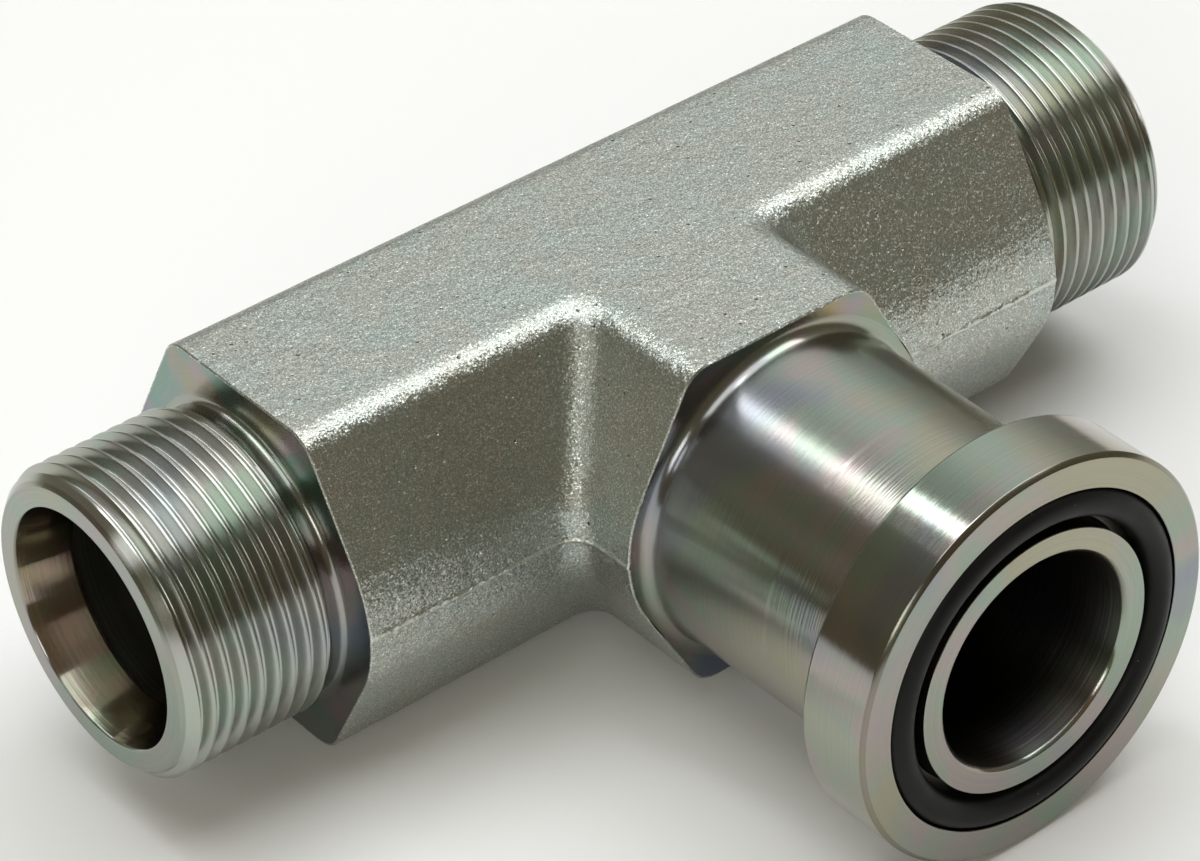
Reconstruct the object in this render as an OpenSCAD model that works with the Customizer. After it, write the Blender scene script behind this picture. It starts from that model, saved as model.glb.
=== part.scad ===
// Tee fitting for high-pressure hydraulic pipe: a forged hexagon-section tee, machined at its
// three ends. Both ends of the run are threaded 24 degree cone ends, and the branch is a
// split-flange head with a face seal.
// The run lies along X, the branch points along -Y and Z is up. The origin is the point where
// the run axis meets the branch axis.

/* [Forging] */
// Height between the flat top and the flat bottom
section_h = 41.8; // [40:0.1:46]
// Width of the top and bottom flats, measured between the sharp edge lines
flat_w = 23.8; // [22:0.1:28]
// Slope of the side faces away from vertical, in degrees
side_draft = 29.3; // [27:0.1:31]
// Radius along the top and bottom edges
edge_r = 3.9; // [2:0.1:5]
// Radius that rounds the sides over the die line at mid height
parting_r = 16.5; // [10:0.5:18]
// Radius along the lower edges of the +X arm, which filled the die less sharply
worn_edge_r = 8; // [4:0.5:9]
// Fillet in plan where the branch leaves the run
crotch_r = 3.2; // [2:0.1:6]
// How far the trimmed flash stands out along the die line
flash_h = 0.25; // [0:0.05:0.5]
// Width of the flash where it leaves the sides
flash_w = 0.9; // [0.4:0.1:1.5]
// Distance from the centre to the shoulder of each run arm
run_shoulder = 48.7; // [46:0.1:54]
// Distance from the centre to the shoulder of the branch
branch_shoulder = 29.6; // [28:0.1:36]

/* [Threaded ends] */
// Distance from the centre to each end face of the run
run_reach = 69.5; // [66:0.1:76]
// Diameter over the thread crests
thread_d = 35.8; // [35:0.1:37]
// Diameter of the end face inside the thread chamfer
nose_d = 32.6; // [31.5:0.1:33.5]
// Length of the thread chamfer along the axis
nose_len = 1.6; // [1:0.1:2.5]
// Diameter of the undercut between thread and shoulder
relief_d = 33.4; // [32:0.1:34]
// Width of the undercut
relief_w = 3.2; // [2:0.1:5]
// Fillet at the foot of the undercut
relief_r = 0.8; // [0.3:0.1:1.2]
// Diameter of the cone mouth at the end face
mouth_d = 27.9; // [27:0.1:29]
// Full angle of the cone, in degrees
cone_angle = 24; // [22:1:26]
// Diameter of the socket that takes the pipe
socket_d = 25.1; // [24.5:0.1:25.6]
// Depth from the end face to the pipe stop
socket_depth = 13; // [11:0.5:18]
// Diameter of the bore through the run
run_bore_d = 20; // [16:0.5:22]

/* [Flanged end] */
// Distance from the centre to the flange face
flange_reach = 69.1; // [66:0.1:76]
// Diameter of the neck
neck_d = 37.4; // [36:0.1:39]
// Fillet between the neck and the shoulder
neck_fillet = 1.5; // [0.5:0.1:2]
// Diameter of the flange head
head_d = 47.5; // [46:0.1:50]
// Thickness of the flange head
head_t = 9; // [7:0.1:11]
// Edge break round the flange face
head_edge = 0.5; // [0.2:0.1:1]
// Edge break round the back of the flange head
back_edge = 0.3; // [0.1:0.1:0.6]
// Outer diameter of the seal groove
groove_od = 39.7; // [38.5:0.1:41]
// Inner diameter of the seal groove
groove_id = 30.8; // [29:0.1:31.5]
// Depth of the seal groove
groove_depth = 2.9; // [2.5:0.1:3.1]
// Diameter of the bore through the flange and neck
branch_bore_d = 25; // [22:0.5:26]
// Edge break at the mouth of the branch bore
bore_edge = 0.4; // [0.2:0.1:0.8]
// Distance from the run axis to the end of the full-width branch bore
branch_bore_end = 16; // [14:0.5:20]
// Full point angle of the drill that made the branch bore, in degrees
drill_angle = 118; // [90:1:140]

/* [Face seal] */
// Cord diameter of the seal ring
ring_cord = 3.5; // [3.3:0.1:3.8]
// Space left between the ring and the floor and outer wall of its groove
ring_gap = 0.03; // [0.01:0.01:0.1]

/* [Hidden] */
$fn = 96;
half_h = section_h / 2;
cut_over = 1;               // how far a cutter runs past the face it opens
edge_steps = 9;             // levels round each top or bottom edge
parting_steps = 6;          // levels on each half of the rounded die line
crotch_steps = 8;           // segments in each crotch fillet
parting_z = parting_r * sin(side_draft);
cone_len = (mouth_d - socket_d) / 2 / tan(cone_angle / 2);
drill_len = (branch_bore_d - run_bore_d) / 2 / tan(drill_angle / 2);
ring_r = groove_od / 2 - ring_gap - ring_cord / 2;
ring_y = -flange_reach + groove_depth - ring_gap - ring_cord / 2;

// Distance from the arm's axis to the sharp side line at height z
function side_line(z) = flat_w / 2 + (half_h - abs(z)) * tan(side_draft);

// Height, on the lower or upper half, at which an edge of radius r runs out into the side
function edge_end(r) = half_h - r * (1 - sin(side_draft));

// Half width of an arm at height z: round edge, straight side, then round die line
function arm_half(z, r) =
    abs(z) > edge_end(r)
        ? flat_w / 2 - r * (1 - sin(side_draft)) / cos(side_draft)
            + sqrt(max(0, r * r - pow(abs(z) - half_h + r, 2)))
        : abs(z) < parting_z
            ? side_line(0) - parting_r / cos(side_draft) + sqrt(parting_r * parting_r - z * z)
            : side_line(z);

// How far the flash stands out at height z
function flash(z) = flash_h * max(0, 1 - 2 * abs(z) / flash_w);

// Heights of the levels from the die line to a flat whose edge has radius r, going outwards
function half_levels(r) = concat(
    [0, flash_w / 2],
    [for (i = [1 : parting_steps]) parting_r * sin(side_draft * i / parting_steps)],
    [for (i = [0 : edge_steps])
        half_h - r + r * sin(side_draft + (90 - side_draft) * i / edge_steps)]);

// Points of a fillet of radius crotch_r in the corner at p, on the side given by sx
function crotch(p, sx) = [for (i = [0 : crotch_steps])
    let (a = (sx > 0 ? 180 : 90) - 90 * i / crotch_steps)
        [p[0] + sx * crotch_r + crotch_r * cos(a), p[1] - crotch_r + crotch_r * sin(a)]];

// Plan outline of the tee at height z, anticlockwise, with overlong arms that are faced later
function outline(z, r_left, r_right, r_branch) =
    let (l = arm_half(z, r_left) + flash(z), e = arm_half(z, r_right) + flash(z),
         b = arm_half(z, r_branch) + flash(z),
         x = run_shoulder + cut_over, y = branch_shoulder + cut_over)
    [for (p = concat(
        [[-x, l], [-x, -l]],
        crotch([-b, -l], -1),
        [[-b, -y], [b, -y]],
        crotch([b, -e], 1),
        [[x, -e], [x, e], [flat_w / 2, e], [-flat_w / 2, l]])) [p[0], p[1], z]];

// Solid that joins a stack of outlines with equally many points. Each end is closed by a fan
// round the Z axis, from which the whole outline can be seen.
module loft(rings) {
    n = len(rings[0]);
    top = len(rings) - 1;
    middle = n * len(rings);
    points = concat([for (ring = rings) each ring],
        [[0, 0, rings[0][0][2]], [0, 0, rings[top][0][2]]]);
    sides = [for (k = [0 : top - 1]) for (i = [0 : n - 1]) let (j = (i + 1) % n)
        each [[k * n + i, (k + 1) * n + i, (k + 1) * n + j],
              [k * n + i, (k + 1) * n + j, k * n + j]]];
    ends = [for (i = [0 : n - 1]) let (j = (i + 1) % n)
        each [[i, j, middle], [top * n + j, top * n + i, middle + 1]]];
    polyhedron(points, concat(sides, ends), convexity = 6);
}

// Forged blank: tee outlines stacked from the bottom flat to the top flat, with the ends of its
// three arms faced off square
module forging() {
    low = half_levels(max(edge_r, worn_edge_r));
    high = half_levels(edge_r);
    rings = concat(
        [for (i = [len(low) - 1 : -1 : 1]) outline(-low[i], edge_r, worn_edge_r, edge_r)],
        [for (z = high) outline(z, edge_r, edge_r, edge_r)]);
    intersection() {
        loft(rings);
        translate([-run_shoulder, -branch_shoulder, -section_h])
            cube([2 * run_shoulder, branch_shoulder + section_h, 2 * section_h]);
    }
}

// Turns a shape made along +Z so that it runs out along the +X arm
module on_run() rotate([0, 90, 0]) children();

// Turns a shape made along +Z so that it runs out along the branch
module on_branch() rotate([90, 0, 0]) children();

// Half section of a fillet of radius r whose corner is at the origin, filling +X and +Y
module fillet_section(r) difference() {
    square(r);
    translate([r, r]) circle(r);
}

// Turned end of a run arm: undercut with a filleted foot, thread blank and chamfered nose
module run_stub() rotate_extrude() {
    square([relief_d / 2, run_reach - nose_len]);
    translate([relief_d / 2, run_shoulder]) fillet_section(relief_r);
    polygon([
        [0, run_shoulder + relief_w - (thread_d - relief_d) / 2],
        [relief_d / 2, run_shoulder + relief_w - (thread_d - relief_d) / 2],
        [thread_d / 2, run_shoulder + relief_w],
        [thread_d / 2, run_reach - nose_len],
        [nose_d / 2, run_reach],
        [0, run_reach]]);
}

// Turned branch: neck, fillet against the shoulder, and flange head with broken edges
module flange_stub() rotate_extrude() {
    square([neck_d / 2, flange_reach - head_t / 2]);
    translate([neck_d / 2, branch_shoulder]) fillet_section(neck_fillet);
    polygon([
        [0, flange_reach - head_t],
        [head_d / 2 - back_edge, flange_reach - head_t],
        [head_d / 2, flange_reach - head_t + back_edge],
        [head_d / 2, flange_reach - head_edge],
        [head_d / 2 - head_edge, flange_reach],
        [0, flange_reach]]);
}

// Hollow of a run arm: cone for the cutting ring, socket for the pipe, and half of the bore
module run_hollow() {
    cylinder(d = run_bore_d, h = run_reach);
    translate([0, 0, run_reach - socket_depth]) cylinder(d = socket_d, h = socket_depth + cut_over);
    translate([0, 0, run_reach - cone_len])
        cylinder(d1 = socket_d, d2 = mouth_d, h = cone_len);
}

// Hollow of the branch: wide bore with a broken edge, and the drill's point that meets the run
module branch_hollow() {
    cylinder(d = run_bore_d, h = flange_reach);
    translate([0, 0, branch_bore_end]) cylinder(d = branch_bore_d, h = flange_reach);
    translate([0, 0, branch_bore_end - drill_len])
        cylinder(d1 = run_bore_d, d2 = branch_bore_d, h = drill_len);
    translate([0, 0, flange_reach - bore_edge])
        cylinder(d1 = branch_bore_d, d2 = branch_bore_d + 2 * bore_edge, h = bore_edge);
}

// Groove for the seal ring in the flange face
module seal_groove() difference() {
    translate([0, 0, flange_reach - groove_depth]) cylinder(d = groove_od, h = head_t);
    cylinder(d = groove_id, h = 2 * flange_reach);
}

// One-piece steel body: forging with its three ends turned, bored and grooved
module tee_body() color([0.58, 0.60, 0.57]) difference() {
    union() {
        forging();
        on_run() run_stub();
        mirror([1, 0, 0]) on_run() run_stub();
        on_branch() flange_stub();
    }
    on_run() run_hollow();
    mirror([1, 0, 0]) on_run() run_hollow();
    on_branch() branch_hollow();
    on_branch() seal_groove();
}

// Rubber ring that lies against the floor and outer wall of its groove and stands a little
// proud of the flange face
module seal_ring() color([0.08, 0.08, 0.08])
    on_branch() translate([0, 0, -ring_y]) rotate_extrude()
        translate([ring_r, 0]) circle(d = ring_cord);

tee_body();
seal_ring();
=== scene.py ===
import math

import bmesh
import bpy
from mathutils import Matrix, Vector, noise


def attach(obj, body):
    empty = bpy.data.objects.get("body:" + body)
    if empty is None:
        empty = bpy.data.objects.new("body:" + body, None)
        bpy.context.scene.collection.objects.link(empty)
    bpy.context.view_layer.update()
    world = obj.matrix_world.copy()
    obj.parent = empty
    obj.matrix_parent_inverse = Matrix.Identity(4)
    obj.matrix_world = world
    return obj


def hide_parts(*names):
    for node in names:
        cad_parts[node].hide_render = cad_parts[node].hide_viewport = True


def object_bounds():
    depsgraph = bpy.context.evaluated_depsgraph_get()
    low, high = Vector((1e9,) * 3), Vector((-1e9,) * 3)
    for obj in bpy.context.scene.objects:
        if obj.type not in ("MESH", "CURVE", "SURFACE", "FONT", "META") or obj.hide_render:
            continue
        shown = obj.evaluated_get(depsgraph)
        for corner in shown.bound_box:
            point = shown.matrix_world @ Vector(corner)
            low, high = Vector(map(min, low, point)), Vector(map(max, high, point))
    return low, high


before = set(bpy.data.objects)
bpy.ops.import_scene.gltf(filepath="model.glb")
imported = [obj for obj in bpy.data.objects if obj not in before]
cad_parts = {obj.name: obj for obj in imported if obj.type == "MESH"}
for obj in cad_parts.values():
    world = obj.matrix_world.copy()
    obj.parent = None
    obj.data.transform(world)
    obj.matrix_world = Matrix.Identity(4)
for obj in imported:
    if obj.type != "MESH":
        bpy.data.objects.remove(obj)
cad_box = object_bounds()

# Camera at the photograph's place: above and to the left of the branch, with a long lens.
# Its place, aim and roll were fitted to the outlines of the turned ends and the flats.
MM = 0.001
camera_place = Vector((-255.61, -329.98, 300.76)) * MM
camera_aim = Vector((-10.889, -12.387, 3.441)) * MM
camera_roll = math.radians(-2.639)

lens = bpy.data.cameras.new("camera")
lens.sensor_width = 36.0
lens.lens = 138.71
lens.clip_start = 0.02
camera = bpy.data.objects.new("camera", lens)
bpy.context.scene.collection.objects.link(camera)
camera.matrix_world = (
    Matrix.Translation(camera_place)
    @ (camera_aim - camera_place).to_track_quat("-Z", "Y").to_matrix().to_4x4()
    @ Matrix.Rotation(camera_roll, 4, "Z"))
bpy.context.scene.camera = camera
bpy.context.scene.view_settings.view_transform = "Standard"


# Studio: a plain white table in a dim room with a bright wall behind, as on a bench by a window.
# Its lamps give a level at which a colour renders about as written, and the table takes the shadow.
def linear(code):
    """Turns an sRGB hex colour into the linear values that a shader works with."""
    parts = [int(code[i:i + 2], 16) / 255 for i in (1, 3, 5)]
    return [p / 12.92 if p <= 0.04045 else ((p + 0.055) / 1.055) ** 2.4 for p in parts] + [1.0]


def add_node(tree, kind, sockets=None, **settings):
    """Adds a shader node with its settings. A socket takes a value or a link from another node."""
    made = tree.nodes.new("ShaderNode" + kind)
    for name, value in settings.items():
        setattr(made, name, value)
    for name, value in (sockets or {}).items():
        if isinstance(value, bpy.types.NodeSocket):
            tree.links.new(value, made.inputs[name])
        else:
            made.inputs[name].default_value = value
    return made


def empty_material(name):
    """A new material with nothing in it but its output node."""
    made = bpy.data.materials.new(name)
    made.use_nodes = True
    made.node_tree.nodes.clear()
    return made, made.node_tree, add_node(made.node_tree, "OutputMaterial")


table_size = 4.0
table_gap = 0.05 * MM
table_mesh = bmesh.new()
bmesh.ops.create_grid(table_mesh, x_segments=1, y_segments=1, size=table_size / 2)
bmesh.ops.translate(table_mesh, verts=table_mesh.verts, vec=(0, 0, cad_box[0][2] - table_gap))
table_data = bpy.data.meshes.new("table")
table_mesh.to_mesh(table_data)
table_mesh.free()
table = bpy.data.objects.new("table", table_data)
bpy.context.scene.collection.objects.link(table)

# White paper, matt, whose own colour is the white of the background
paper, tree, out = empty_material("white_paper")
sheet = add_node(tree, "BsdfDiffuse", {"Color": linear("#fafaf9"), "Roughness": 0.5})
tree.links.new(sheet.outputs[0], out.inputs["Surface"])
table_data.materials.append(paper)

# The room: a bright wall behind on the right, and dim brownish walls near the horizon. The shades
# go from what lies square to the bright wall's direction to its middle.
bright_wall = (0.52, 0.56, 0.645)
wall_shades = [(0.0, "#706752"), (0.45, "#7a7668"), (0.70, "#8c8b83"), (0.85, "#a8aaa6"), (0.93, "#ccd0ce"),
               (1.0, "#fcffff")]
room = bpy.data.worlds.new("room")
bpy.context.scene.world = room
room.use_nodes = True
tree = room.node_tree
tree.nodes.clear()
way = add_node(tree, "TexCoord").outputs["Generated"]
nearness = add_node(tree, "VectorMath", {0: way, 1: bright_wall}, operation="DOT_PRODUCT").outputs["Value"]
level = add_node(tree, "ValToRGB", {"Fac": nearness})
while len(level.color_ramp.elements) < len(wall_shades):
    level.color_ramp.elements.new(0.5)
for element, (place, shade) in zip(level.color_ramp.elements, wall_shades):
    element.position, element.color = place, linear(shade)
sky = add_node(tree, "Background", {"Color": level.outputs["Color"], "Strength": 1.0})
add_node(tree, "OutputWorld", {"Surface": sky.outputs[0]})


def softbox(name, way, distance, wide, long, radiance, shade):
    """A rectangular lamp that faces the object from the direction way, with the given radiance."""
    lamp = bpy.data.lights.new(name, "AREA")
    lamp.shape = "RECTANGLE"
    lamp.size, lamp.size_y = wide, long
    lamp.energy = radiance * math.pi * wide * long
    lamp.color = linear(shade)[:3]
    placed = bpy.data.objects.new(name, lamp)
    bpy.context.scene.collection.objects.link(placed)
    place = Vector(way).normalized() * distance
    placed.matrix_world = Matrix.Translation(place) @ (-place).to_track_quat("-Z", "Y").to_matrix().to_4x4()


# A narrow tube behind gives the streak along the neck, a panel to the right gives the bright band
# of the threads, and a window on the left, a panel above and one beside the camera fill in
softbox("tube_behind", (-0.13, 0.47, 0.87), 0.75, 0.10, 0.80, 4.2, "#fbfdff")
softbox("panel_right", (0.50, -0.11, 0.86), 0.75, 0.48, 0.34, 3.3, "#fbfdff")
softbox("window_left", (-0.86, 0.05, 0.50), 0.75, 0.20, 0.20, 1.8, "#fbfdff")
softbox("panel_above", (-0.10, 0.02, 0.99), 0.80, 0.72, 0.72, 1.85, "#fafcff")
softbox("beside_camera", (-0.75, -0.62, 0.45), 0.90, 0.26, 0.30, 4.0, "#fffefb")

# Forged blank of the body: one piece of carbon steel, hammered in two die halves, trimmed along
# the die line and blasted with shot. Its three arms are then faced off square in the lathe.
arm_end = 48.7          # branch axis to the two shoulders of the run, mm
branch_end = 29.6       # run axis to the shoulder of the branch, mm
blank_back = 21.0       # the cuts across the branch end here, at the back of the run, mm
broken_edge = 0.14      # edge break round each shoulder, mm
shoulder_rim = 0.12     # width of the rim that lies in the plane of each shoulder, mm
mean_half = 20.6        # mean half width of an arm, mm
run_bore_r = 10.0       # bore through the run, mm
branch_bore_r = 12.5    # wide bore of the branch, mm
inside_skin = 15.0      # no forged skin lies nearer than this to the axis of an arm, mm
run_kept = 30.0         # length of the CAD's bore that is kept on each side of the branch axis, mm
branch_kept = 16.0      # the same along the branch, up to the end of its wide bore, mm
bore_joint = 1.5        # length of the band that joins a kept bore to a turned end's bore, mm
socket_stop = 56.5      # branch axis to the step that stops the pipe, mm
skin_step = 1.1         # spacing of the cuts that let the skin follow the hammered surface, mm
flash_step = 0.37       # spacing of the cuts along the trimmed flash, mm
flash_half = 0.46       # the flash lies within this distance of the die line, mm
flash_crest = 0.2       # and its outer edge within this distance, mm
skin_dip = 0.045        # mean depth of the hammered skin under the CAD's, mm
skin_wave = 0.035       # how uneven it is, mm
flash_trim = 0.22       # most that the trimming took off the flash, mm
flash_wander = 0.25     # how far its line wanders up and down, mm
# Finishes of the body, in the order of its materials
(FORGED, TURNED_RUN, TURNED_BRANCH, BORED_RUN, BORED_BRANCH, THREAD, CONE, FACED_RUN, FACED_BRANCH,
 EDGE_BRANCH) = range(10)

body = bmesh.new()
body.from_mesh(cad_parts["tee_body"].data)
bmesh.ops.scale(body, vec=(1 / MM,) * 3, verts=body.verts)
bmesh.ops.remove_doubles(body, verts=body.verts, dist=0.002)


def part_of_blank(face):
    """Says whether a face of the CAD body is forged skin, the crossing of the bores, or neither."""
    c = face.calc_center_median()
    from_run, from_branch = math.hypot(c.y, c.z), math.hypot(c.x, c.z)
    in_blank = abs(c.x) < arm_end - 0.1 and c.y > 0.1 - branch_end
    if in_blank and from_run > inside_skin and (c.y > -14 or from_branch > inside_skin):
        return "skin"
    in_branch_bore = 0.01 - branch_kept < c.y < 0 and from_branch < branch_bore_r + 0.1
    if abs(c.x) < socket_stop - 0.1 and (from_run < run_bore_r + 0.1 or in_branch_bore):
        return "crossing"
    return "neither"


for face in body.faces:
    face.smooth = True
    face.material_index = {"skin": FORGED, "crossing": BORED_RUN, "neither": TURNED_RUN}[part_of_blank(face)]
bmesh.ops.delete(body, geom=[f for f in body.faces if f.material_index == TURNED_RUN], context="FACES")


def parts_of(elements, kind):
    """The verts or edges of mesh elements, each once, in an order that is the same on every run."""
    return list(dict.fromkeys(part for element in elements for part in getattr(element, kind)))


def around(faces):
    """The faces with their edges and corners, as the operators take them."""
    return list(faces) + parts_of(faces, "edges") + parts_of(faces, "verts")


def cut(mesh, geometry, axis, place, drop_beyond=0):
    """Cuts geometry by a plane across an axis. drop_beyond of 1 or -1 takes off what lies on that side."""
    normal = Vector((0, 0, 0))
    normal[axis] = 1
    return bmesh.ops.bisect_plane(mesh, geom=geometry, dist=0.0005, plane_co=normal * place, plane_no=normal,
                                  clear_outer=drop_beyond > 0, clear_inner=drop_beyond < 0)["geom"]


def faces_of(mesh, *finishes):
    """The faces of a mesh that have one of these finishes."""
    return [f for f in mesh.faces if f.material_index in finishes]


for side in (1, -1):
    cut(body, around(faces_of(body, FORGED)), 0, side * (arm_end - broken_edge), side)
    cut(body, around(faces_of(body, BORED_RUN)), 0, side * run_kept, side)
cut(body, around(faces_of(body, FORGED)), 1, broken_edge - branch_end, -1)
for face in faces_of(body, BORED_RUN):
    c = face.calc_center_median()
    if c.y < -6 and math.hypot(c.y, c.z) > run_bore_r + 0.05:
        face.material_index = BORED_BRANCH


def slice_up(mesh, geometry, step):
    """Cuts geometry into slices of one width across the run and across the branch."""
    for axis, low, high in ((0, -arm_end, arm_end), (1, -branch_end, blank_back)):
        for i in range(1, int((high - low - 0.3) / step) + 1):
            geometry = cut(mesh, geometry, axis, low + i * step)


# The skin is cut into small faces, finer along the flash
slice_up(body, around(faces_of(body, FORGED)), skin_step)
flash = [f for f in faces_of(body, FORGED) if all(abs(v.co.z) < flash_half for v in f.verts)]
slice_up(body, around(flash), flash_step)
# Corners that the cuts left closer than 0.03 mm become one, so that no sliver folds over a rim
bmesh.ops.remove_doubles(body, verts=parts_of(faces_of(body, FORGED), "verts"), dist=0.03)

# The hammered skin is uneven by a few hundredths, and the flash was trimmed to a ragged line
body.normal_update()
moves = []
for v in parts_of(faces_of(body, FORGED), "verts"):
    wave = noise.noise(v.co / 7.0) + 0.6 * noise.noise(v.co / 2.3)
    move = -v.normal * (skin_dip + skin_wave * wave)
    if abs(v.co.z) < flash_crest:
        outward = Vector((v.normal.x, v.normal.y, 0)).normalized()
        ragged = 0.55 + 0.9 * noise.noise(v.co / 1.1) + 0.5 * noise.noise(v.co / 0.45)
        wander = Vector((0, 0, flash_wander * noise.noise(v.co / 2.6)))
        move = -outward * flash_trim * min(1.0, max(0.05, ragged)) + wander
    moves.append((v, move))
for v, move in moves:
    v.co += move


def from_axis(point, axis):
    """Distance of a point from one of the axes through the origin."""
    return math.sqrt(max(0.0, point.length_squared - point[axis] ** 2))


def rim_at(mesh, axis, place, slack=0.2, reach=99.0):
    """The open edges that lie within slack of a plane across an axis, and within reach of that axis."""
    return [e for e in mesh.edges if e.is_boundary
            and all(abs(v.co[axis] - place) < slack and from_axis(v.co, axis) < reach for v in e.verts)]


def extruded(mesh, rim):
    """Extrudes a rim of edges in place, and gives the new rim and its corners."""
    made = bmesh.ops.extrude_edge_only(mesh, edges=rim)["geom"]
    corners = [g for g in made if isinstance(g, bmesh.types.BMVert)]
    known = set(corners)
    edges = [g for g in made if isinstance(g, bmesh.types.BMEdge) and all(v in known for v in g.verts)]
    return edges, corners


# Each arm's end gets its broken edge, and a narrow rim that lies in the plane of its shoulder
shoulders = []
for axis, place in ((0, arm_end), (0, -arm_end), (1, -branch_end)):
    side = math.copysign(1, place)
    rim = rim_at(body, axis, place - side * broken_edge)
    for v in parts_of(rim, "verts"):
        v.co[axis] = place - side * broken_edge
    for inward in (broken_edge, shoulder_rim):
        rim, corners = extruded(body, rim)
        shrink = [1 - inward / mean_half] * 3
        shrink[axis] = 1
        bmesh.ops.scale(body, vec=shrink, verts=corners)
        for v in corners:
            v.co[axis] = place
    shoulders.append((axis, place))

# Threaded ends of the run: turned from the blank on the lathe, with a 36 x 2 mm thread, an
# undercut behind it, and a 24 degree cone and pipe socket inside.
pitch = 2.0
thread_steps = 120      # steps in one turn of the thread
crest_r = 17.9          # radius of the thread's crests, mm
relief_r, relief_end = 16.7, 50.7       # undercut behind the thread: its radius, and where it ends, mm
relief_fillet = 0.8     # fillet between the undercut and the shoulder, mm
nose_r, run_end = 16.3, 69.499          # front corner: its radius, and the place of the end face, mm
# One pitch of the thread as (place, radius): a narrow crest, a straight flank and a round root, mm
one_thread = [
    (-0.13, 17.90), (0.13, 17.90), (0.165, 17.885), (0.19, 17.855), (0.22, 17.807), (0.45, 17.409),
    (0.70, 16.976), (0.75, 16.889), (0.82, 16.808), (0.91, 16.759), (1.00, 16.745), (1.09, 16.759),
    (1.18, 16.808), (1.25, 16.889), (1.30, 16.976), (1.55, 17.409), (1.78, 17.807), (1.81, 17.855),
    (1.835, 17.885)]

thread_start, thread_stop = relief_end + 0.04, run_end - 0.42
first = thread_start - 2 * pitch
count = int((thread_stop - first) / pitch) + 2
end = bmesh.new()
chain = [end.verts.new((first + k * pitch + x, 0, r)) for k in range(count) for x, r in one_thread]
edges = [end.edges.new(pair) for pair in zip(chain, chain[1:])]
bmesh.ops.spin(end, geom=chain + edges, cent=(0, 0, 0), axis=(1, 0, 0), dvec=(pitch / thread_steps, 0, 0),
               angle=2 * math.pi, steps=thread_steps, use_merge=False)
bmesh.ops.remove_doubles(end, verts=end.verts, dist=0.001)
for v in end.verts:
    most = min(crest_r, relief_r + max(0, v.co.x - relief_end), nose_r + max(0, run_end - v.co.x))
    radius = math.hypot(v.co.y, v.co.z)
    if radius > most:
        v.co.y, v.co.z = v.co.y * most / radius, v.co.z * most / radius
cut(end, around(end.faces), 0, thread_start, -1)
cut(end, around(end.faces), 0, thread_stop, 1)


def carry_on(mesh, rim, axis, profile):
    """Extrudes a round rim along a turned profile of (place on the axis, radius) points."""
    for place, radius in profile:
        rim, corners = extruded(mesh, rim)
        for v in corners:
            v.co *= radius / from_axis(v.co, axis)
            v.co[axis] = place
    return rim


def supported(profile, hold=0.08, long_face=0.6):
    """Adds points close to the corners of a turned profile, so that its long faces shade straight."""
    kept = profile[:1]
    for before, here, after in zip(profile, profile[1:], profile[2:]):
        back, ahead = Vector(before) - Vector(here), Vector(after) - Vector(here)
        corner = (-back).angle(ahead) > 0.05
        if corner and back.length > long_face:
            kept.append(tuple(Vector(here) + back.normalized() * hold))
        kept.append(here)
        if corner and ahead.length > long_face:
            kept.append(tuple(Vector(here) + ahead.normalized() * hold))
    return kept + profile[-1:]


def arc(centre, radius, start, stop, steps):
    """Points (place, radius) along an arc in a turned profile, by angles in degrees."""
    angles = [math.radians(start + (stop - start) * i / steps) for i in range(steps + 1)]
    return [(centre[0] + radius * math.cos(a), centre[1] + radius * math.sin(a)) for a in angles]


for face in end.faces:
    face.material_index = THREAD
threaded = set(end.faces)
inner = rim_at(end, 0, thread_start, 0.01)
outer = rim_at(end, 0, thread_stop, 0.01)
# Undercut and its fillet, up to a ring that lies on the shoulder
fillet = arc((arm_end + relief_fillet, relief_r + relief_fillet), relief_fillet, 270, 180, 6)
carry_on(end, inner, 0, supported([(relief_end, relief_r)] + fillet + [(arm_end, relief_r + 1.1)]))
# Nose, end face, cone, pipe socket and its stop, then the bore
mouth = carry_on(end, outer, 0, supported([
    (run_end - 0.3, nose_r + 0.28), (run_end - 0.03, nose_r + 0.01), (run_end, nose_r - 0.04),
    (run_end, 15.2), (run_end, 14.03), (run_end - 0.08, 13.92), (run_end - 0.3, 13.87)]))
for face in set(end.faces) - threaded:
    face.material_index = TURNED_RUN
before = set(end.faces)
carry_on(end, mouth, 0, supported([
    (67.6, 13.47), (65.5, 13.03), (63.3, 12.57), (63.0, 12.55), (58.0, 12.55), (56.8, 12.55), (56.55, 12.45),
    (socket_stop, 12.2), (socket_stop, 11.2), (socket_stop, 10.3), (56.4, 10.08), (56.2, run_bore_r),
    (50.0, run_bore_r), (40.0, run_bore_r), (run_kept + bore_joint, run_bore_r)]))
cone_end = 62.9         # inner end of the cone's finish, mm
for face in end.faces:
    face.smooth = True
    if face not in before:
        face.material_index = CONE if face.calc_center_median().x > cone_end else BORED_RUN


def add_copy(mesh, turn):
    """Puts a copy of a mesh into the body, turned about Z, so that its thread keeps its hand."""
    held = bpy.data.meshes.new("held")
    mesh.to_mesh(held)
    held.transform(Matrix.Rotation(turn, 4, "Z"))
    body.from_mesh(held)
    bpy.data.meshes.remove(held)


add_copy(end, 0.0)
add_copy(end, math.pi)
end.free()
for side in (1, -1):
    bmesh.ops.bridge_loops(body, edges=rim_at(body, 0, side * run_kept, reach=run_bore_r + 1)
                           + rim_at(body, 0, side * (run_kept + bore_joint), reach=run_bore_r + 1))

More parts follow.
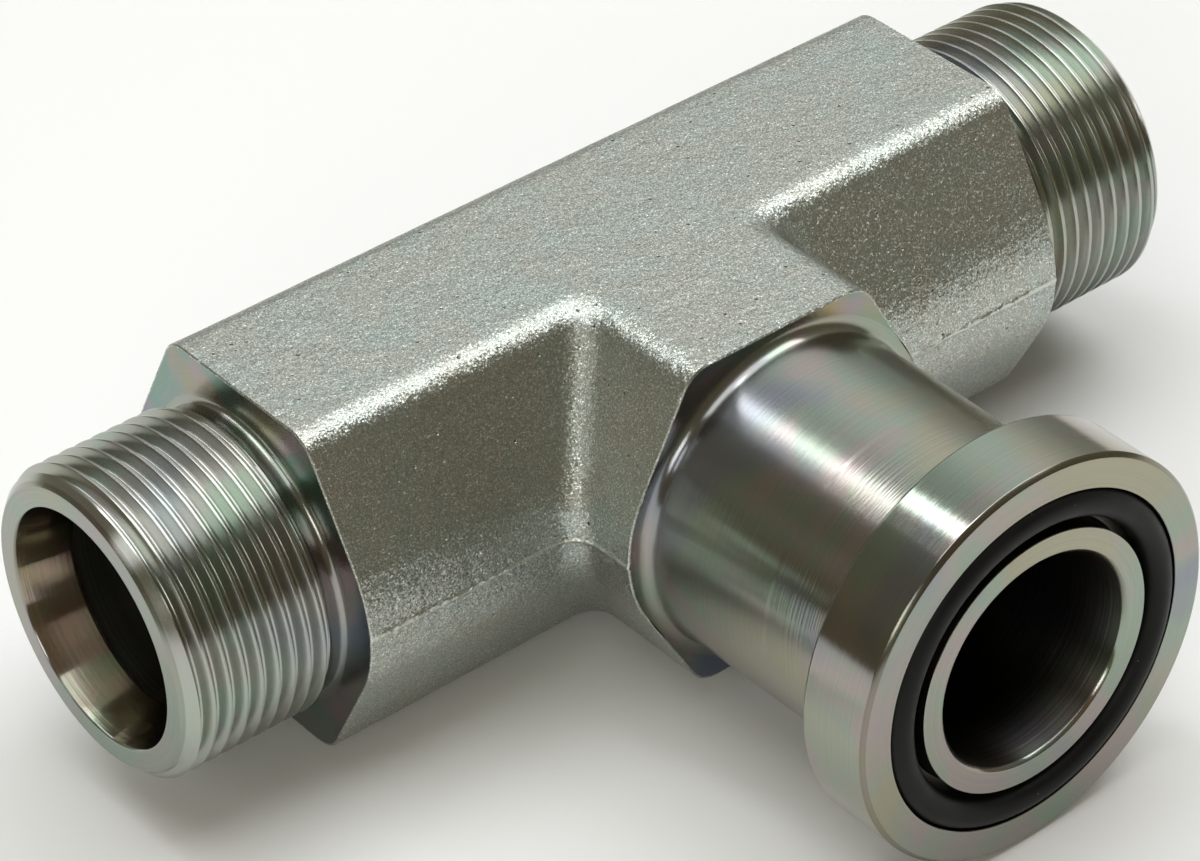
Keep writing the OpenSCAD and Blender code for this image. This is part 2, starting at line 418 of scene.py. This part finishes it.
# Flanged end of the branch: a turned neck and a flange head that two clamp halves pull on, with
# a groove in its face for the seal ring and a bore through to the run.
neck_r, head_r = 18.7, 23.74            # radii of the neck and of the flange head, mm
head_back, flange_end = 60.1, 69.1      # run axis to the back and to the face of the head, mm
groove_out, groove_in = 19.85, 15.4     # outer and inner radius of the ring's groove, mm
groove_floor = 66.2                     # run axis to the groove's floor, mm
neck_fillet = 1.5                       # fillet between the neck and the shoulder, mm
head_chamfer = 0.5                      # width of the chamfer round the face, whose darker finish is a painted dark reflection, mm
branch_steps = 176                      # segments round the branch

branch = bmesh.new()
fillet = arc((-branch_end - neck_fillet, neck_r + neck_fillet), neck_fillet, 0, -90, 8)
profile = [(-branch_end, neck_r + 1.75)] + fillet + [
    (-36.0, neck_r), (-42.0, neck_r), (-48.2, neck_r), (-48.6, neck_r - 0.03), (-54.0, neck_r - 0.03),
    (-head_back + 0.35, neck_r - 0.03), (-head_back + 0.08, neck_r + 0.04), (-head_back, neck_r + 0.3),
    (-head_back, 20.4), (-head_back, 22.4), (-head_back, head_r - 0.32), (-head_back - 0.06, head_r - 0.12),
    (-head_back - 0.25, head_r), (-62.5, head_r), (-66.0, head_r), (-flange_end + head_chamfer, head_r),
    (-flange_end + 0.46, head_r - 0.02), (-flange_end + 0.04, head_r - 0.44),
    (-flange_end, head_r - head_chamfer), (-flange_end, 22.4), (-flange_end, 20.9),
    (-flange_end, groove_out + 0.06), (-flange_end + 0.06, groove_out), (-67.6, groove_out),
    (-groove_floor - 0.2, groove_out), (-groove_floor, groove_out - 0.2), (-groove_floor, 17.6),
    (-groove_floor, groove_in + 0.2), (-groove_floor - 0.2, groove_in), (-67.6, groove_in),
    (-flange_end + 0.06, groove_in), (-flange_end, groove_in - 0.06), (-flange_end, 14.2),
    (-flange_end, 12.95), (-flange_end + 0.05, 12.88), (-flange_end + 0.4, branch_bore_r)]
chain = [branch.verts.new((0, y, r)) for y, r in supported(profile)]
edges = [branch.edges.new(pair) for pair in zip(chain, chain[1:])]
bmesh.ops.spin(branch, geom=chain + edges, cent=(0, 0, 0), axis=(0, 1, 0), angle=2 * math.pi,
               steps=branch_steps, use_merge=True)
bmesh.ops.remove_doubles(branch, verts=branch.verts, dist=0.0005)
for face in branch.faces:
    c = face.calc_center_median()
    radius = math.hypot(c.x, c.z)
    at_edge = -flange_end + 0.01 < c.y < -flange_end + head_chamfer and radius > head_r - head_chamfer
    # The ring's groove gets the near-black bore finish too: painted shade in the groove
    deep = -flange_end + 0.5 < c.y < -groove_floor + 0.1
    # The chamfer round the face gets a darker finish: a painted dark reflection
    if at_edge:
        face.material_index = EDGE_BRANCH
    elif deep and groove_in - 0.1 < radius < groove_out + 0.1:
        face.material_index = BORED_BRANCH
    else:
        face.material_index = TURNED_BRANCH
before = set(branch.faces)
carry_on(branch, rim_at(branch, 1, -flange_end + 0.4, 0.01), 1,
         [(y, branch_bore_r) for y in (-60.0, -45.0, -30.0, -branch_kept - bore_joint)])
for face in branch.faces:
    face.smooth = True
    if face not in before:
        face.material_index = BORED_BRANCH
add_copy(branch, 0.0)
branch.free()
bmesh.ops.bridge_loops(body, edges=rim_at(body, 1, -branch_kept, reach=branch_bore_r + 0.5)
                       + rim_at(body, 1, -branch_kept - bore_joint, reach=branch_bore_r + 0.5))

# The three shoulders are faced flat between the blank's outline and the turned fillets
for axis, place in shoulders:
    facing = Vector((0, 0, 0))
    facing[axis] = math.copysign(1, place)
    rim = rim_at(body, axis, place, 0.01)
    made = bmesh.ops.triangle_fill(body, edges=rim, use_beauty=True, normal=facing)
    for face in made["geom"]:
        if isinstance(face, bmesh.types.BMFace):
            face.smooth = False
            face.material_index = FACED_BRANCH if axis else FACED_RUN

bmesh.ops.recalc_face_normals(body, faces=body.faces)
bmesh.ops.scale(body, vec=(MM,) * 3, verts=body.verts)
steel_mesh = bpy.data.meshes.new("steel_body")
body.to_mesh(steel_mesh)
body.free()
steel_mesh.set_sharp_from_angle(angle=math.radians(33))
steel_body = bpy.data.objects.new("steel_body", steel_mesh)
bpy.context.scene.collection.objects.link(steel_body)


# Shot-blasted forged steel with a clear zinc plating: dull grey, peened all over, with fine
# glints where single dents face the light, and a pit here and there.
def per_mm(size):
    """The scale of a pattern whose marks are size millimetres across."""
    return 1 / (size * MM)


def mixed(tree, factor, low, high):
    """A colour between two colours."""
    return add_node(tree, "Mix", {0: factor, 6: low, 7: high}, data_type="RGBA").outputs[2]


def spread(tree, value, low, high, low_out=0.0, high_out=1.0):
    """Stretches the part of a value between low and high over another span."""
    return add_node(tree, "MapRange", {"Value": value, "From Min": low, "From Max": high,
                                       "To Min": low_out, "To Max": high_out}).outputs[0]


blasted, tree, out = empty_material("shot_blasted_zinc_steel")
place = add_node(tree, "TexCoord").outputs["Object"]
# Patterns: cloudy mottle, grain and speckle left by the shot, dents, slow swells, and pits in places
mottle = add_node(tree, "TexNoise", {"Vector": place, "Scale": per_mm(9.0), "Detail": 5.0, "Roughness": 0.66,
                                     "Distortion": 0.6}).outputs[0]
grain = add_node(tree, "TexNoise", {"Vector": place, "Scale": per_mm(0.24), "Detail": 2.0, "Roughness": 0.6})
speckle = add_node(tree, "TexNoise", {"Vector": place, "Scale": per_mm(0.18), "Detail": 1.5}).outputs[0]
dents = add_node(tree, "TexNoise", {"Vector": place, "Scale": per_mm(0.65), "Detail": 2.0}).outputs[0]
swells = add_node(tree, "TexNoise", {"Vector": place, "Scale": per_mm(2.6), "Detail": 2.0}).outputs[0]
pits = add_node(tree, "TexVoronoi", {"Vector": place, "Scale": per_mm(2.1)})
chosen = add_node(tree, "SeparateColor", {"Color": pits.outputs["Color"]}).outputs[0]
pit = add_node(tree, "Math", {0: spread(tree, pits.outputs["Distance"], 0.05, 0.11, 1.0, 0.0),
                              1: spread(tree, chosen, 0.45, 0.65)}, operation="MULTIPLY").outputs[0]
# The crest of the flash along the die line, where a paler colour is a painted highlight
height = add_node(tree, "SeparateXYZ", {"Vector": place}).outputs["Z"]
from_line = add_node(tree, "Math", {0: height}, operation="ABSOLUTE").outputs[0]
painted_flash_highlight = spread(tree, from_line, 0.16 * MM, 0.36 * MM, 1.0, 0.0)
# How the surface lies: the grain tilts it on top of the swells, dents and pits
tilt = add_node(tree, "VectorMath", {0: grain.outputs["Color"], 1: (0.5, 0.5, 0.5)},
                operation="SUBTRACT").outputs[0]
tilt = add_node(tree, "VectorMath", {0: tilt, "Scale": 1.05}, operation="SCALE").outputs[0]
lie = add_node(tree, "Bump", {"Height": swells, "Distance": 0.15 * MM}).outputs[0]
lie = add_node(tree, "Bump", {"Height": dents, "Distance": 0.075 * MM, "Normal": lie}).outputs[0]
lie = add_node(tree, "Bump", {"Height": pit, "Distance": 0.08 * MM, "Normal": lie}, invert=True).outputs[0]
lie = add_node(tree, "VectorMath", {0: lie, 1: tilt}, operation="ADD").outputs[0]
lie = add_node(tree, "VectorMath", {0: lie}, operation="NORMALIZE").outputs[0]
# Colours: mottle between a warm and a cool grey, darker and brighter specks, dirt in the pits, and a painted
# highlight along the crest of the flash
tone = mixed(tree, spread(tree, mottle, 0.36, 0.64), linear("#b0aea3"), linear("#aab4ae"))
tone = mixed(tree, spread(tree, speckle, 0.36, 0.50), linear("#9d9e93"), tone)
tone = mixed(tree, spread(tree, speckle, 0.55, 0.68), tone, linear("#e6ebe7"))
tone = mixed(tree, pit, tone, linear("#5d594e"))
# Painted highlight: a paler colour along the crest of the flash
tone = mixed(tree, painted_flash_highlight, tone, linear("#cfd2c8"))
rough = spread(tree, speckle, 0.36, 0.66, 0.42, 0.31)
skin = add_node(tree, "BsdfPrincipled", {"Base Color": tone, "Metallic": 1.0, "Roughness": rough,
                                         "Normal": lie})
tree.links.new(skin.outputs[0], out.inputs["Surface"])
steel_mesh.materials.append(blasted)


# Turned steel under clear zinc with its passivation film: pale and bright, drawn out across the
# tool marks, with faint clouds of green, rose, straw and violet from the film.
def turned_steel(name, axis, shade, marks, clouds, dull=0.20, drawn=0.8, ridges=(90.0, 91.0), polish=1.0,
                 tints=("#8fa08e", "#a79795", "#a39b80", "#868999")):
    """Steel turned about an axis. marks is the depth of the tool marks, clouds how strong the film's
    tints are, dull the roughness, drawn how far the highlights are drawn out, ridges the stretch along
    the axis, in mm, where the tool left coarse marks, and polish how much smoother the finish is far
    from the axis, on the rim of the head. tints are the film's green, rose, straw and violet."""
    made, tree, out = empty_material(name)
    place = add_node(tree, "TexCoord").outputs["Object"]
    along = add_node(tree, "VectorMath", {0: place, 1: axis}, operation="DOT_PRODUCT").outputs["Value"]
    circling = add_node(tree, "VectorMath", {0: axis, 1: place}, operation="CROSS_PRODUCT").outputs[0]
    off_axis = add_node(tree, "VectorMath", {0: circling}, operation="LENGTH").outputs["Value"]
    circling = add_node(tree, "VectorMath", {0: circling}, operation="NORMALIZE").outputs[0]
    feed = add_node(tree, "Math", {0: along, 1: off_axis}, operation="ADD").outputs[0]
    fine = add_node(tree, "TexNoise", {"W": feed, "Scale": per_mm(0.3), "Detail": 1.0},
                    noise_dimensions="1D").outputs[0]
    coarse = add_node(tree, "TexNoise", {"W": feed, "Scale": per_mm(1.1), "Detail": 3.0},
                      noise_dimensions="1D").outputs[0]
    cloud = add_node(tree, "TexNoise", {"Vector": place, "Scale": per_mm(11.0), "Detail": 3.0,
                                        "Distortion": 0.8}).outputs[0]
    cast = add_node(tree, "TexNoise", {"Vector": place, "Scale": per_mm(19.0), "Detail": 2.0,
                                       "Distortion": 0.5}).outputs[0]
    grain = add_node(tree, "TexNoise", {"Vector": place, "Scale": per_mm(0.3), "Detail": 2.0}).outputs[0]
    film = mixed(tree, spread(tree, cloud, 0.42, 0.58), linear(tints[0]), linear(tints[1]))
    film = mixed(tree, spread(tree, cast, 0.53, 0.68), film, linear(tints[2]))
    film = mixed(tree, spread(tree, cast, 0.45, 0.35), film, linear(tints[3]))
    tone = mixed(tree, clouds, linear(shade), film)
    tone = mixed(tree, spread(tree, fine, 0.35, 0.65, 0.0, 0.07 * marks), tone, linear("#1c1a17"))
    past_first = spread(tree, along, ridges[0] * MM, (ridges[0] + 0.4) * MM)
    before_last = spread(tree, along, (ridges[1] - 0.4) * MM, ridges[1] * MM, 1.0, 0.0)
    inside = add_node(tree, "Math", {0: past_first, 1: before_last}, operation="MULTIPLY").outputs[0]
    lie = add_node(tree, "Bump", {"Height": coarse, "Distance": 0.008 * MM * marks}).outputs[0]
    lie = add_node(tree, "Bump", {"Height": fine, "Distance": 0.002 * MM * marks, "Normal": lie}).outputs[0]
    lie = add_node(tree, "Bump", {"Height": fine, "Distance": 0.015 * MM, "Strength": inside,
                                  "Normal": lie}).outputs[0]
    polished = spread(tree, off_axis, 20.5 * MM, 21.5 * MM, 1.0, polish)
    rough = add_node(tree, "Math", {0: spread(tree, grain, 0.3, 0.7, dull - 0.01, dull + 0.02), 1: polished},
                     operation="MULTIPLY").outputs[0]
    # The tangent runs round the axis, and a quarter turn draws the highlights out across the marks
    metal = add_node(tree, "BsdfPrincipled", {
        "Base Color": tone, "Metallic": 1.0, "Roughness": rough, "Anisotropic": drawn,
        "Anisotropic Rotation": 0.25, "Tangent": circling, "Normal": lie})
    tree.links.new(metal.outputs[0], out.inputs["Surface"])
    return made


# In the order of the finishes of the body
run_axis, branch_axis = (1, 0, 0), (0, 1, 0)
shoulder_tints = ("#769489", "#a38c92", "#a09461", "#788096")
for made in (turned_steel("turned_zinc_steel_run", run_axis, "#929b95", 1.0, 0.5),
             turned_steel("turned_zinc_steel_branch", branch_axis, "#9a9d95", 1.0, 0.6, ridges=(-60.4, -48.4),
                          polish=0.6),
             # The bored finishes' near-black shades are painted shade inside the bores and the ring's groove
             turned_steel("bored_zinc_steel_run_painted_shade", run_axis, "#57534a", 4.0, 0.25, 0.34, 0.5),
             turned_steel("bore_and_groove_zinc_steel_painted_shade", branch_axis, "#3a3731", 5.0, 0.15, 0.36, 0.5),
             turned_steel("cut_thread_zinc_steel", run_axis, "#b3bab3", 0.5, 0.4, 0.23, 0.65),
             turned_steel("reamed_cone_zinc_steel", run_axis, "#b7a78c", 1.5, 0.7, 0.13, 0.8),
             turned_steel("faced_zinc_steel_run", run_axis, "#84908b", 0.6, 0.8, tints=shoulder_tints),
             turned_steel("faced_zinc_steel_branch", branch_axis, "#9a9d95", 0.6, 0.9, tints=shoulder_tints),
             # Its darker shade is a painted dark reflection on the chamfer round the face
             turned_steel("edge_zinc_steel_branch_painted_reflection", branch_axis, "#7d796c", 2.0, 0.3, 0.22, 0.5)):
    steel_mesh.materials.append(made)
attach(steel_body, "root")
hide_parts("tee_body")

# Seal ring: a black nitrile rubber ring moulded in one piece, pressed by hand into the groove of
# the flange face, where it lies against the outer wall and stands a little proud.
ring_cord, ring_r, ring_y = 3.5, 18.07, -67.97     # thickness, middle circle's radius and its place, mm
cord_steps, ring_steps = 28, 192        # segments round the cord and round the ring
ring = bmesh.new()
section = bmesh.ops.create_circle(ring, cap_ends=False, segments=cord_steps, radius=ring_cord / 2)["verts"]
bmesh.ops.rotate(ring, verts=section, cent=(0, 0, 0), matrix=Matrix.Rotation(math.pi / 2, 3, "Y"))
bmesh.ops.translate(ring, verts=section, vec=(0, ring_y, ring_r))
bmesh.ops.spin(ring, geom=ring.verts[:] + ring.edges[:], cent=(0, 0, 0), axis=(0, 1, 0), angle=2 * math.pi,
               steps=ring_steps, use_merge=True)
bmesh.ops.remove_doubles(ring, verts=ring.verts, dist=0.0005)
bmesh.ops.recalc_face_normals(ring, faces=ring.faces)
for face in ring.faces:
    face.smooth = True
bmesh.ops.scale(ring, vec=(MM,) * 3, verts=ring.verts)
ring_mesh = bpy.data.meshes.new("rubber_seal_ring")
ring.to_mesh(ring_mesh)
ring.free()
seal_ring = bpy.data.objects.new("rubber_seal_ring", ring_mesh)
bpy.context.scene.collection.objects.link(seal_ring)

# Moulded nitrile rubber: near black, with a soft oily sheen and a few specks of dust
nitrile, tree, out = empty_material("moulded_nitrile_rubber")
place = add_node(tree, "TexCoord").outputs["Object"]
bloom = add_node(tree, "TexNoise", {"Vector": place, "Scale": per_mm(4.0), "Detail": 4.0}).outputs[0]
pores = add_node(tree, "TexNoise", {"Vector": place, "Scale": per_mm(0.22), "Detail": 2.0}).outputs[0]
specks = add_node(tree, "TexVoronoi", {"Vector": place, "Scale": per_mm(1.7)}).outputs["Distance"]
speck = spread(tree, specks, 0.03, 0.07, 0.6, 0.0)
tone = mixed(tree, bloom, linear("#0e0e0d"), linear("#161615"))
tone = mixed(tree, speck, tone, linear("#6a6860"))
lie = add_node(tree, "Bump", {"Height": pores, "Distance": 0.008 * MM}).outputs[0]
rubber = add_node(tree, "BsdfPrincipled", {
    "Base Color": tone, "Roughness": spread(tree, bloom, 0.3, 0.7, 0.4, 0.52), "IOR": 1.5,
    "Specular IOR Level": 0.18, "Normal": lie})
tree.links.new(rubber.outputs[0], out.inputs["Surface"])
ring_mesh.materials.append(nitrile)
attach(seal_ring, "root")
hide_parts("seal_ring")
